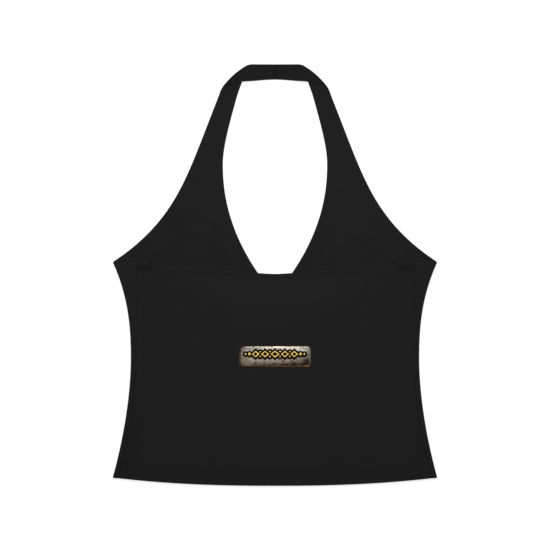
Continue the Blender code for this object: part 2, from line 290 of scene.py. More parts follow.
# Painted light and shade on the metal, from the plate's own middle: painted shade at both ends,
# along its upper edge and in a line inside its lower rim, and painted highlights below its upper
# edge, in a band low on its face, on its lower rim and at its lower +X corner.
PLATE_PAINTED_LIGHT = table(Fade,
    (-46, 13, 26, 6, -0.65),
    (-46, -2, 9, 18, -0.4),
    (46, 4, 12, 9, -0.5),
    (0, 14.5, 60, 3, -0.2),
    (2, 9, 30, 3, 0.3),
    (-3, -4.2, 34, 3.2, 0.85),
    (36, 11, 12, 2.5, -0.25),
    (34, -7, 14, 6, -0.4),
    (41, -5, 2.5, 4.5, -0.4),
    (18, -9.9, 26, 1.8, -0.55),
    (25, -12.8, 24, 1.2, 0.8),
    (-34, -13.5, 24, 1.6, -0.4),
    (40, -11.6, 3.5, 1.8, 2.2),
)
# Insets of its face's rings, in mm.
PLATE_INSETS = [0, 0.1, 0.3, 0.6, 0.9, 1.2, 1.6, 2.2, 3, 3.8, 4.6, *np.arange(5.4, 13)]

# The ornament is a row of open lozenges and of beads along the plate. This is
# its half with x over 0, in mm from the row's middle.
Motif = namedtuple("Motif", "kind x y half_x half_y")
ORNAMENT = table(Motif,
    ("lozenge", 0, 0, 5.6, 4.5),
    ("bead", 6.3, 3.2, 1.1, 1.1),
    ("bead", 6.3, -3.2, 1.1, 1.1),
    ("lozenge", 12.4, 0, 5, 4.2),
    ("bead", 18.4, 3, 1, 1),
    ("bead", 18.4, -3, 1, 1),
    ("lozenge", 24.2, 0, 4.8, 4),
    ("bead", 31.9, 0, 1.7, 1.7),
    ("bead", 36.6, 0, 1.2, 1.2),
)
MOTIFS = ORNAMENT + [motif._replace(x=-motif.x) for motif in ORNAMENT if motif.x > 0]
ORNAMENT_Y = 3.1 * MM  # from the plate's own middle
STROKE = 1.25  # width of a lozenge's frame, in mm
MOTIF_RISE = 0.3 * MM  # above the enamel
# Rings of a bead, and of a lozenge's frame from its outside to its inside: the
# share of the half-size, or of the way in, and of MOTIF_RISE.
BEAD_RINGS = [(1, -0.5), (1, 0.5), (0.85, 1), (0.6, 1.4), (0.25, 1.6)]
FRAME_RINGS = [(0, -0.5), (0, 0.5), (0.35, 1.2), (0.65, 1.2), (1, 0.5), (1, -0.5)]
BEAD_SIDES = 16
INLAY_MARGIN = 2.5  # of black enamel round each motif, in mm
INLAY_RISE = 0.12 * MM
INLAY_STEP = 0.4  # mm
INLAY_SHORT = 0.1  # mm cut off at each end, where it would have no width
# Half of a section across the enamel: the shares of its half-width and of its rise.
INLAY_SECTION = [(1, -0.1), (1, 0.6), (0.95, 1), (0.7, 1), (0.35, 1), (0, 1)]

# ---- how finely each is divided
HALF_COLUMNS = 62  # from the centre or neckline to the outer edge
FINE_COLUMNS = 40  # of these, in the outer part of the row
FINE_ZONE = 62 * MM  # which is this long, or less in a short row
FOLD_STEPS = 10  # round a turned fold
WRAP_COLUMNS = 12
LOW_HALTER_ROWS = 25  # from the underarm up
LOW_HALTER_PART = 0.15
HALTER_ROWS = 90  # from the underarm to STRAP_TOP_Y
TURN_STEPS = 4  # between two sections of the turn
BAND_STEPS = 5
BACK_COLUMNS = 92
BACK_GRADING = 0.9  # columns are closer together near the side seam
EDGE_ZONE = 24 * MM  # rows are closer together this near an edge
ZONE_ROW = 1.3 * MM
MIDDLE_ROW = 2.4 * MM
RIM_STEPS = 6  # round the cloth's edges
SLOPE_STEP = 0.5 * MM  # to each side, for the slope of the side fold
PLATE_END_STEPS = 8  # along half of the plate's end, and round its corner
PLATE_SIDE_STEPS = 42  # along half of its side


# ---- the outlines
# An edge of the cloth is round, so the middle surface ends EDGE inside it.
def mix(start, end, part):
    return start + (end - start) * part


def smooth(part):
    """0 up to 0, 1 from 1 on, and a smooth rise between them."""
    part = np.clip(part, 0, 1)
    return part * part * (3 - 2 * part)


def bow(part):
    """A parabola, 0 at both ends of a line and 1 in its middle."""
    return 4 * part * (1 - part)


def added(curve, place):
    return curve.size * np.maximum(0, (place - curve.start) / curve.reach) ** curve.power


def hem_y(x):
    return HEM_Y + EDGE + added(HEM_RISE, np.abs(x))


def side_half(y):
    """Half-width of the laid body at its side fold."""
    return WAIST_HALF + added(BUST_FLARE, y) + added(HIP_FLARE, y)


def side_outward(y):
    """Direction in plan straight out of the side fold."""
    slope = (side_half(y + SLOPE_STEP) - side_half(y - SLOPE_STEP)) / (2 * SLOPE_STEP)
    return np.array([1, -slope]) / math.hypot(1, slope)


def seam_half(y):
    """Half-width at the side seam, on the upper layer."""
    return side_half(y) - WRAP_HIP - added(WRAP_WIDER, y)


def armhole_half(y):
    straight = ARMHOLE_HALF + ARMHOLE_SLOPE * (STRAP_TOP_Y - y)
    return straight + added(ARMHOLE_FLARE, y) - EDGE


def neckline_half(y):
    above = np.maximum(0, y - NECK_TAPER.start)
    rise = np.hypot(above, NECK_ROUNDING) - NECK_ROUNDING
    return NECK_HALF - added(NECK_TAPER, y) - NECK_SLOPE * rise + EDGE


def neck_point_y():
    """Height at which the two sides of the V neckline meet."""
    part = ((NECK_HALF + EDGE) / NECK_TAPER.size) ** (1 / NECK_TAPER.power)
    return NECK_TAPER.start + NECK_TAPER.reach * part


def back_top_y(x):
    v_rise = np.hypot(BACK_TOP_ROUNDING, BACK_TOP_SLOPE * x) - BACK_TOP_ROUNDING
    return BACK_TOP_Y + v_rise - EDGE


def seam_point(part):
    """The side seam in plan, from the hem at part 0 to the underarm at part 1."""
    x = seam_half(mix(hem_y(HEM_HALF), UNDERARM_Y, part))
    return np.array([x, mix(hem_y(x), back_top_y(x), part)])


def upper_z(from_fold, reach=FOLD_REACH):
    """Height of the upper layer's middle surface, at a distance in from a fold."""
    inside = np.maximum(0, from_fold - FOLD_RADIUS)
    return LOWER_Z + LAYER_STEP + FOLD_RISE * np.exp(-(inside / reach) ** 2)


# ---- rows of the front panel
def parted(*stretches):
    """Numbers from 0 up, even within each stretch. A stretch is its steps and its end."""
    parts = [0]
    for steps, end in stretches:
        parts.extend(np.linspace(parts[-1], end, steps + 1)[1:])
    return np.array(parts)


COLUMN_PARTS = parted((HALF_COLUMNS, 1))
WRAP_PARTS = parted((WRAP_COLUMNS, 1))
HALTER_PARTS = parted((LOW_HALTER_ROWS, LOW_HALTER_PART), (HALTER_ROWS - LOW_HALTER_ROWS, 1))
BEND_ANGLES = np.linspace(-math.pi / 2, math.pi / 2, FOLD_STEPS + 1)


def at_height(plan, z):
    return np.column_stack([plan, np.broadcast_to(z, len(plan))])


def lower_row(inner, outer, power=1):
    """A row of the lower layer between two points in plan, bowed by a power over 1.

    Its points are closer together in the outer part of a long row.
    """
    zone = min(FINE_ZONE / math.dist(inner, outer), FINE_COLUMNS / HALF_COLUMNS)
    parts = parted((HALF_COLUMNS - FINE_COLUMNS, 1 - zone), (FINE_COLUMNS, 1))
    x = mix(inner[0], outer[0], parts)
    y = mix(inner[1], outer[1], parts ** power)
    return at_height(np.column_stack([x, y]), LOWER_Z)


def bend(edge, outward, angles):
    """Points round a turned fold whose outermost point in plan is edge."""
    reach = BEND_RADIUS * np.cos(angles) - FOLD_RADIUS
    plan = edge + outward * np.reshape(reach, (-1, 1))
    return at_height(plan, LOWER_Z + BEND_RADIUS * (1 + np.sin(angles)))


def graded(length):
    """Parts of a length, closer together near both ends."""
    zone = EDGE_ZONE / length
    near = round(EDGE_ZONE / ZONE_ROW)
    middle = round((length - 2 * EDGE_ZONE) / MIDDLE_ROW)
    return parted((near, zone), (middle, 1 - zone), (near, 1))


BODY_PARTS = graded(UNDERARM_Y - HEM_Y)


def body_row(part):
    """A row from the centre or neckline round the side fold to the side seam."""
    if part < NECK_POINT_PART:
        inner = (0, mix(HEM_Y + EDGE, neck_point_y(), part / NECK_POINT_PART))
    else:
        above = (part - NECK_POINT_PART) / (1 - NECK_POINT_PART)
        neck_y = mix(neck_point_y(), NECK_AT_UNDERARM_Y, above)
        inner = (neckline_half(neck_y), neck_y)
    y = mix(hem_y(HEM_HALF), UNDERARM_Y, part)
    edge = np.array([side_half(y), y])
    outward = side_outward(y)
    start = edge - outward * FOLD_RADIUS
    seam = seam_point(part) + [SEAM_GAP / 2 + EDGE, 0]
    plan = start + (seam - start) * WRAP_PARTS[1:, None]
    wrap = at_height(plan, upper_z(side_half(plan[:, 1]) - plan[:, 0]))
    fold = bend(edge, outward, BEND_ANGLES[1:])
    return np.vstack([lower_row(inner, start, HEM_RISE.power), fold, wrap])


def halter_row(part):
    """A row from the neckline to the armhole, at part 1 across the top of the strap."""
    neck_y = mix(NECK_AT_UNDERARM_Y, STRAP_TOP_Y, part)
    arm_y = mix(UNDERARM_Y, STRAP_TOP_Y, part)
    return lower_row((neckline_half(neck_y), neck_y), (armhole_half(arm_y), arm_y))


def refined(rows, steps):
    """Catmull-Rom curves through the rows, in steps from each row to the next."""
    rows = np.array(rows)
    padded = np.concatenate([2 * rows[:1] - rows[1:2], rows, 2 * rows[-1:] - rows[-2:-1]])
    fine = []
    for before, start, end, after in zip(padded, padded[1:], padded[2:], padded[3:]):
        square = 2 * before - 5 * start + 4 * end - after
        cube = 3 * start - before - 3 * end + after
        for t in np.arange(steps) / steps:
            fine.append(start + ((end - before) * t + square * t ** 2 + cube * t ** 3) / 2)
    return fine + [rows[-1]]


def section_ends(section):
    """The two ends of a section across the strap or band, EDGE inside its edges."""
    first, last = np.reshape(section, (2, 2)) * MM
    inwards = (last - first) / np.linalg.norm(last - first) * EDGE
    return first + inwards, last - inwards


def corner_bow(part):
    return CORNER_BULGE * bow(np.clip(part, 0, 1))


def corner_row(angle):
    """A row of the bend that turns the strap over into the band."""
    margin = EDGE / CORNER_LENGTH
    part = mix(margin, 1 - margin, COLUMN_PARTS[:, None])
    skew = mix(CORNER_SKEW_NECK, CORNER_SKEW_ARM, part)
    part -= skew * BEND_RADIUS * angle / CORNER_LENGTH
    edge = CORNER_NECK + CORNER_ALONG * CORNER_LENGTH * part + CORNER_OUT * corner_bow(part)
    slope = CORNER_BULGE * 4 * (1 - 2 * part) / CORNER_LENGTH
    outward = (CORNER_OUT - CORNER_ALONG * slope) / np.hypot(1, slope)
    return bend(edge, outward, angle)


def turn_rows():
    """The rows from the top of the strap to its turned fold, which bow more and more."""
    sections = [halter_row(1 - TURN_LEAD), halter_row(1)]
    for number, section in enumerate(TURN, 1):
        strength = (number / (len(TURN) + 1)) ** 2
        row = lower_row(*section_ends(section))
        row[:, :2] += CORNER_OUT * (corner_bow(COLUMN_PARTS) * strength)[:, None]
        sections.append(row)
    sections.append(corner_row(BEND_ANGLES[0]))
    return refined(sections, TURN_STEPS)[TURN_STEPS + 1:-1]


def band_z(plan):
    """The band lies on the strap, flatter towards its lower edge, and comes down inside it."""
    neck_x, neck_y, _, _ = np.transpose([*TURN, CORNER]) * MM
    inside = np.interp(plan[:, 1], neck_y, neck_x) - plan[:, 0]
    level = 1 - smooth((inside - DROOP_START) / (DROOP_END - DROOP_START))
    reach = np.linspace(FOLD_REACH, PRESSED_REACH, len(plan))
    return LOWER_Z + level * (upper_z((CORNER_NECK - plan) @ CORNER_OUT, reach) - LOWER_Z)


def band_rows():
    """The rows from the turned fold to the centre-back neck seam."""
    sections = [corner_row(BEND_ANGLES[-1])[:, :2]]
    for section in BAND:
        top, low = section_ends(section)
        sections.append(top + (low - top) * COLUMN_PARTS[:, None])
    return [at_height(plan, band_z(plan)) for plan in refined(sections, BAND_STEPS)[1:]]


def front_rows():
    rows = [body_row(part) for part in BODY_PARTS]
    rows += [halter_row(part) for part in HALTER_PARTS[1:]]
    rows += turn_rows()
    rows += [corner_row(angle) for angle in BEND_ANGLES]
    return rows + band_rows()


def back_rows():
    parts = np.linspace(0, 1, BACK_COLUMNS + 1) ** BACK_GRADING
    rows = []
    for part in BODY_PARTS:
        x = (seam_point(part)[0] - SEAM_GAP / 2 - EDGE) * parts
        y = mix(hem_y(x), back_top_y(x), part)
        rows.append(at_height(np.column_stack([x, y]), upper_z(side_half(y) - x)))
    return rows


# ---- the creases
def ridges(x, y, creases):
    """Height that the creases of a table add at each point."""
    total = np.zeros_like(x)
    for crease in creases:
        # Complex: the real part goes from 0 to 1 along the line, the other one to its left.
        run = complex(crease.x1 - crease.x0, crease.y1 - crease.y0)
        place = (x / MM - crease.x0 + 1j * (y / MM - crease.y0)) / run
        part = place.real
        beside = (place.imag * abs(run) - crease.bow * bow(part)) / crease.width
        shape = np.exp(-beside ** 2) - crease.notch * np.exp(-(NOTCH_NARROWER * beside) ** 2)
        total += crease.height * MM * shape * np.exp(-CREASE_FADE * (2 * part - 1) ** 4)
    return total


def clear_of_plate(x, y):
    """0 under the metal plate, which presses the cloth flat, and 1 well clear of it."""
    beside_x = np.maximum(0, np.abs(x) - PLATE_HIGH.x)
    beside_y = np.maximum(0, np.abs(y - PLATE_Y) - PLATE_HALF_Y)
    return smooth((np.hypot(beside_x, beside_y) - PLATE_HOLD) / PLATE_HOLD_FADE)


def loft(x, y):
    """Air under the back panel, which it loses towards its edges."""
    share = 1
    for inside in (side_half(y) - np.abs(x) - WRAP_HIP, y - hem_y(x), back_top_y(x) - y):
        share = share * smooth(inside / LOFT_FADE)
    slow = np.sin(x / LOFT_WAVE_X + 0.8) * np.sin(y / LOFT_WAVE_Y - 0.4)
    return LOFT * share * (1 + LOFT_UNEVEN * slow)


def pucker(along, away):
    """Small waves beside a line of sewing, uneven along it."""
    phase = 2 * math.pi * along / PUCKER_WAVE + PUCKER_DRIFT * np.sin(along / PUCKER_DRIFT_WAVE)
    swell = 1 - PUCKER_SWELL * (1 - np.sin(along / PUCKER_SWELL_WAVE + 1))
    return PUCKER * swell * (1 + np.sin(phase)) * np.exp(-(away / PUCKER_REACH) ** 2)


def relief(x, y, upper):
    """How far the cloth is lifted at each point. Upper is 0 in the lower layer, 1 in the upper."""
    through = ridges(x, y, LOWER_CREASES)
    own = ridges(x, y, UPPER_CREASES) + loft(x, y)
    own += pucker(y, seam_half(y) - np.abs(x))
    own += pucker(x, back_top_y(x) - TOP_STITCH_IN - y)
    own += pucker(x + HEM_PUCKER_SHIFT, y - hem_y(x) - HEM_STITCH_UP)
    roll = ROLL_HEIGHT * (1 - smooth((np.abs(x) - ROLL_END) / ROLL_END_FADE))
    own += roll * np.exp(-((back_top_y(x) - ROLL_IN - y) / ROLL_HALF) ** 2)
    return through + upper * clear_of_plate(x, y) * own


def painted_shading_at(x, y, patches):
    """The painted light and shade at each point, as a factor of its colour: 1 where no patch of a
    table reaches it.
    """
    painted_light_shade = np.ones_like(x)
    for patch in patches:
        beside_x = (x / MM - patch.x) / patch.reach_x
        beside_y = (y / MM - patch.y) / patch.reach_y
        painted_light_shade += patch.share * np.exp(-beside_x ** 2 - beside_y ** 2)
    return painted_light_shade


# ---- a panel's grid and wall
Grid = namedtuple("Grid", "points quads cut")


def cut_rows(rows):
    """Where each point lies on the flat cut: the distance across, and the height.

    The rows up to the top of the straps lie where they were cut.
    """
    straight = len(BODY_PARTS) + HALTER_ROWS
    cuts = []
    for number, row in enumerate(rows):
        steps = np.linalg.norm(np.diff(row, axis=0), axis=1)
        start = rows[min(number, straight - 1)][0, 0]
        across = start + np.concatenate([[0], np.cumsum(steps)])
        along = row[:, 1]
        if number >= straight:
            along = cuts[-1][:, 1] + np.linalg.norm(row - rows[number - 1], axis=1).mean()
        cuts.append(np.column_stack([across, along]))
    return cuts


def mirrored_grid(rows, faces_up):
    """The rows and their mirror image, which share the points at x 0.

    The quads face out of the cloth's right side.
    """
    cuts = cut_rows(rows)
    numbers = {}
    points = []
    cut = []
    quads = []
    for side in (1, -1):
        for r, row in enumerate(rows):
            for c, point in enumerate(row):
                if side == -1 and point[0] == 0:
                    numbers[side, r, c] = numbers[1, r, c]
                    continue
                numbers[side, r, c] = len(points)
                points.append(point * (side, 1, 1))
                cut.append(cuts[r][c] * (side, 1))
        for r in range(len(rows) - 1):
            for c in range(min(len(rows[r]), len(rows[r + 1])) - 1):
                corners = ((r, c), (r, c + 1), (r + 1, c + 1), (r + 1, c))
                quad = [numbers[side, i, j] for i, j in corners]
                quads.append(quad if (side == 1) == faces_up else quad[::-1])
    return Grid(*map(np.array, (points, quads, cut)))


def unit(vectors):
    return vectors / np.maximum(np.linalg.norm(vectors, axis=1), 1e-12)[:, None]


def normals_of(grid):
    a, b, c, d = (grid.points[grid.quads[:, corner]] for corner in range(4))
    face = np.cross(c - a, d - b)
    total = np.zeros_like(grid.points)
    np.add.at(total, grid.quads, face[:, None])
    return unit(total)


def edges_of(grid):
    """The grid's outer edges, each as a pair of points in the direction of its quad."""
    starts = grid.quads.ravel()
    ends = np.roll(grid.quads, -1, axis=1).ravel()
    used = set(zip(starts.tolist(), ends.tolist()))
    return np.array(sorted(pair for pair in used if pair[::-1] not in used))


def creased(grid):
    x, y, z = grid.points.T
    upper = np.clip((z - LOWER_Z) / LAYER_STEP, 0, 1)
    return grid._replace(points=np.column_stack([x, y, z + relief(x, y, upper)]))


def pressed(points):
    """The wall's points, with the band's lower edge pressed down onto the straps."""
    x, y, z = points.T
    side_x = np.abs(x)
    _, _, low_x, low_y = np.transpose([*BAND[::-1], CORNER]) * MM
    share = 1 - smooth((y - np.interp(side_x, low_x, low_y)) / PRESS_WIDTH)
    share *= smooth((side_x - PRESS_FROM_X) / PRESS_WIDTH) * (y > STRAP_TOP_Y)
    flat = np.where(z > PRESS_BASE, mix(PRESS_BASE, z, PRESS_SHARE), z)
    return np.column_stack([x, y, mix(z, flat, share)])


def way_out(grid, normals, edges, around):
    """The direction that leads out of the grid's edge, at each point around it."""
    outward = np.zeros_like(grid.points)
    run = unit(grid.points[edges[:, 1]] - grid.points[edges[:, 0]])
    np.add.at(outward, edges, np.cross(run[:, None], normals[edges]))
    return unit(outward[around])


def wall_about(grid):
    """A wall of cloth about the grid, with round edges.

    Returns its points and faces, the grid's point behind each of its points,
    and 1 for each point on the right side of the cloth or -1 on the wrong side.
    """
    count = len(grid.points)
    normals = normals_of(grid)
    edges = edges_of(grid)
    around = np.unique(edges)
    outward = way_out(grid, normals, edges, around)
    angles = math.pi * (0.5 - np.arange(1, RIM_STEPS) / RIM_STEPS)
    rims = [outward * math.cos(angle) + normals[around] * math.sin(angle) for angle in angles]
    starts = 2 * count + len(around) * np.arange(len(rims))
    rings = [edges, *(start + np.searchsorted(around, edges) for start in starts), edges + count]
    faces = [grid.quads, grid.quads[:, ::-1] + count]
    faces += [np.column_stack([a[:, ::-1], b]) for a, b in zip(rings, rings[1:])]
    behind = np.concatenate([np.arange(count)] * 2 + [around] * len(rims))
    points = grid.points[behind] + np.vstack([normals, -normals, *rims]) * EDGE
    sizes = [count] * 2 + [len(around)] * len(rims)
    sides = np.repeat([1, -1, *np.where(angles >= 0, 1, -1)], sizes)
    return points, np.vstack(faces), behind, sides


def new_mesh(name, points, faces):
    mesh = bpy.data.meshes.new(name)
    mesh.from_pydata(points, [], faces)
    mesh.validate()
    mesh.shade_smooth()
    return mesh


def attach(mesh, name, values):
    """Gives the mesh's points an attribute: one number each, or three."""
    vector = np.ndim(values) == 2
    held = mesh.attributes.new(name, "FLOAT_VECTOR" if vector else "FLOAT", "POINT")
    held.data.foreach_set("vector" if vector else "value", np.ravel(values))


def wall_mesh(name, grid):
    """The mesh of a wall of cloth.

    The attribute cut holds each point's place on the flat cut and the side of the cloth it is on,
    and a second attribute the painted light and shade that scales its colour.
    """
    points, faces, behind, sides = wall_about(grid)
    points = pressed(points)
    mesh = new_mesh(name, points, faces.tolist())
    attach(mesh, "cut", np.column_stack([grid.cut[behind], sides]))
    # Painted light and shade on the cloth, which scales its colour.
    attach(mesh, "painted_light_shade", painted_shading_at(*points[:, :2].T, CLOTH_PAINTED_LIGHT))
    return mesh


# ---- tubes and joined shapes
# A shape is its points and its faces.
def joined(name, shapes):
    points = []
    faces = []
    for shape_points, shape_faces in shapes:
        faces += [[len(points) + corner for corner in face] for face in shape_faces]
        points += map(tuple, shape_points)
    return new_mesh(name, points, faces)


def stacked(rings, ends="caps"):
    """A shape that joins each ring of points to the next.

    Its ends are closed by caps, joined in a loop, or left open.
    """
    count = len(rings[0])
    points = np.vstack(rings)
    faces = []
    for ring in range(len(rings) - (ends != "loop")):
        for i in range(count):
            j = (i + 1) % count
            a, b = ring * count + i, ring * count + j
            faces.append([corner % len(points) for corner in (a, b, b + count, a + count)])
    if ends == "caps":
        faces.append(list(range(count))[::-1])
        faces.append(list(range(len(points) - count, len(points))))
    return points, faces


def tube(line, radius, sides=6):
    """A tube along a line that runs more or less level, with one radius or many."""
    run = unit(np.gradient(line, axis=0))
    across = unit(np.cross(run, (0, 0, 1)))
    up = np.cross(across, run)
    rings = []
    angles = 2 * math.pi * np.arange(sides)[:, None] / sides
    for place, r, a, u in zip(line, np.broadcast_to(radius, len(line)), across, up):
        rings.append(place + (a * np.cos(angles) - u * np.sin(angles)) * r)
    return stacked(rings)


# ---- sewing
def upper_middle_z(x, y):
    return upper_z(side_half(y) - np.abs(x)) + relief(x, y, 1)


def stitches(half, y_of):
    """Stitches on the upper layer, along y_of(x) between x -half and half."""
    starts = np.linspace(-half, half, round(2 * half / NEEDLE_STEP) + 1)
    parts = np.linspace(0, 1, STITCH_POINTS)
    arch = 1 - (2 * parts - 1) ** 4
    shapes = []
    for start, end in zip(starts, starts[1:]):
        x = start + (end - start) * STITCH_SHARE * parts
        y = y_of(x)
        z = upper_middle_z(x, y) + EDGE - STITCH_SINK
        line = np.column_stack([x, y, z + arch * (THREAD_RADIUS / 2 + STITCH_SINK)])
        shapes.append(tube(line, THREAD_RADIUS * (1 - STITCH_THIN * (1 - arch))))
    return shapes


def side_seam_thread(side):
    """The sewing that shows in a side seam."""
    parts = np.linspace(0, 1, SIDE_THREAD_POINTS)
    plan = np.array([seam_point(part) for part in parts]) * (side, 1)
    z = upper_middle_z(plan[:, 0], plan[:, 1]) - SEAM_THREAD_SINK * parts
    return tube(at_height(plan, z), SEAM_THREAD_RADIUS)


def neck_seam_thread():
    """The same in the centre-back seam of the band."""
    ends = BAND[-1]
    y = np.linspace(ends.arm_y, ends.neck_y, NECK_THREAD_POINTS) * MM
    plan = np.column_stack([np.zeros(len(y)), y])
    z = band_z(plan) + relief(plan[:, 0], y, 0) - NECK_THREAD_SINK
    return tube(at_height(plan, z), NECK_THREAD_RADIUS)


# ---- the plate
def plate_ring(inset):
    """Points round the plate's outline, inset, from the middle of its +X end."""
    size = np.array([PLATE_HALF_X, PLATE_HALF_Y]) - inset
    radius = min(max(PLATE_CORNER - inset, LEAST_CORNER), size[1])
    angles = np.linspace(0, math.pi / 2, PLATE_END_STEPS + 1)
    corner = size - radius + radius * np.column_stack([np.cos(angles), np.sin(angles)])
    end = np.linspace((size[0], 0), corner[0], PLATE_END_STEPS + 1)[:-1]
    side = np.linspace(corner[-1], (0, size[1]), PLATE_SIDE_STEPS + 1)[1:]
    quarter = np.vstack([end, corner, side])
    half = np.vstack([quarter, quarter[-2::-1] * (-1, 1)])
    return np.vstack([half, half[-2:0:-1] * (1, -1)])


def dent(x, y, seed):
    return noise.noise(Vector((x / DENT_SIZE, y / DENT_SIZE, seed)))


def plate_z(x, y, inset):
    """Height of the plate's face, at a place in plan from its own middle."""
    from_rim = np.clip(inset / PLATE_BEVEL, 0, 1)
    round_drop = PLATE_DROP * (1 - np.sqrt(1 - (1 - from_rim) ** 2))
    dome_drop = PLATE_DOME * (1 - inset / PLATE_HALF_Y) ** 2
    return PLATE_HIGH.z - round_drop - dome_drop + DENT_DEPTH * dent(x, y, DENT_SEED)


def plate_rings(levels):
    """The plate's surface as rings. A level is an inset and a height, or None on its face."""
    rings = []
    for inset, z in levels:
        ring = []
        for x, y in plate_ring(inset):
            wear = RIM_WEAR * dent(x, y, RIM_WEAR_SEED) * math.exp(-inset / RIM_WEAR_REACH)
            scale = 1 + wear / math.hypot(x, y)
            height = plate_z(x, y, inset) if z is None else z
            ring.append((x * scale, y * scale + PLATE_Y, height))
        rings.append(ring)
    return rings


def plate_mesh():
    """The plate, with a worn rim.

    The attribute rim holds each point's distance in from it, and a second attribute the painted
    light and shade that scales its colour.
    """
    low = PLATE_LOW.z - PLATE_SINK
    levels = [(UNDER_BEVEL_IN, low), (0, low + UNDER_BEVEL_UP)]
    levels += [(inset * MM, None) for inset in PLATE_INSETS]
    points, faces = stacked(plate_rings(levels), ends="open")
    count = len(points) // len(levels)
    faces.append(list(range(count))[::-1])
    last = len(points) - count
    for i in range(count // 2):
        strip = [i, i + 1, count - i - 1, (count - i) % count]
        faces.append([last + corner for corner in dict.fromkeys(strip)])
    mesh = joined("plate_metal", [(points, faces)])
    x, y, _ = points.T
    attach(mesh, "rim", np.repeat([inset for inset, _ in levels], count))
    # Painted light and shade on the metal, which scales its colour.
    attach(mesh, "painted_light_shade", np.maximum(DARKEST_METAL, painted_shading_at(x, y - PLATE_Y, PLATE_PAINTED_LIGHT)))
    return mesh


def motif_reach(motif, x):
    """How far the enamel round a motif reaches from the row's line, at x along it."""
    beside = abs(x - motif.x)
    if motif.kind == "bead":
        radius = motif.half_x + INLAY_MARGIN
        return abs(motif.y) + math.sqrt(radius ** 2 - beside ** 2) if beside < radius else 0
    grown = INLAY_MARGIN * math.sqrt(2)
    return (motif.half_y + grown) * max(0, 1 - beside / (motif.half_x + grown))


def ornament_point(x, y, rise):
    """A point this high over the plate's face, at x and y in mm from the row's middle."""
    x, y = x * MM, y * MM + ORNAMENT_Y
    inset = min(PLATE_HALF_X - abs(x), PLATE_HALF_Y - abs(y))
    return x, y + PLATE_Y, plate_z(x, y, inset) + rise


def inlay_shape():
    """The black enamel round the motifs, one strip along the plate."""
    last = ORNAMENT[-1]
    reach = last.x + last.half_x + INLAY_MARGIN - INLAY_SHORT
    section = INLAY_SECTION + [(-across, rise) for across, rise in INLAY_SECTION[-2::-1]]
    rings = []
    for x in np.linspace(-reach, reach, round(2 * reach / INLAY_STEP) + 1):
        half = max(motif_reach(motif, x) for motif in MOTIFS)
        rings.append([ornament_point(x, side * half, rise * INLAY_RISE) for side, rise in section])
    return stacked(rings)


def motif_shape(motif):
    """One raised motif: a round bead, or the bevelled frame of a lozenge."""
    if motif.kind == "bead":
        sides, levels, ends = BEAD_SIDES, BEAD_RINGS, "caps"
    else:
        inner = 1 - STROKE * math.hypot(1 / motif.half_x, 1 / motif.half_y)
        levels = [(mix(1, inner, part), share) for part, share in FRAME_RINGS]
        sides, ends = 4, "loop"
    rings = []
    for scale, share in levels:
        ring = []
        for angle in 2 * math.pi * np.arange(sides) / sides:
            x = motif.x + scale * motif.half_x * math.cos(angle)
            y = motif.y + scale * motif.half_y * math.sin(angle)
            ring.append(ornament_point(x, y, INLAY_RISE + share * MOTIF_RISE))
        rings.append(ring)
    return stacked(rings, ends)


# ---- materials
def grey(value):
    return value, value, value, 1


# Colours, two from darker to lighter where the surface is mottled.
JERSEY_LOOP_SHADE = grey(0.0042)  # painted shade, down between the loops
JERSEY_TONES = grey(0.0051), grey(0.0085)
THREAD_TONES = grey(0.005), grey(0.009)
# Darker than the other thread, as painted shade in the seams' grooves.
SEAM_THREAD_SHADE_TONES = grey(0.0015), grey(0.005)
THREAD_GRAINS = (0.3 * MM, 2, (0.75, 0.95), 0.04, 0.5)  # as black_material takes them
# Pewter from brown tarnish through grey to silver. Picked by height on the plate, they paint a
# highlight at its upper rim and shade lower down.
PEWTER_BROWN = (0.05, 0.028, 0.016, 1)
PEWTER_GREY = (0.19, 0.16, 0.122, 1)
PEWTER_SILVER = (0.42, 0.385, 0.335, 1)
PEWTER_PIT = (0.1, 0.082, 0.064, 1)
STAIN_COLOUR = (0.02, 0.014, 0.01, 1)
BRONZE_TONES = (0.034, 0.016, 0.006, 1), (0.13, 0.07, 0.028, 1)
GOLD_TONES = (0.3, 0.16, 0.03, 1), (0.72, 0.5, 0.14, 1)
ENAMEL_TONES = grey(0.0004), (0.002, 0.0015, 0.0012, 1)
ENAMEL_GRAINS = (0.8 * MM, 3, (0.35, 0.6), 0.03, 0.4)


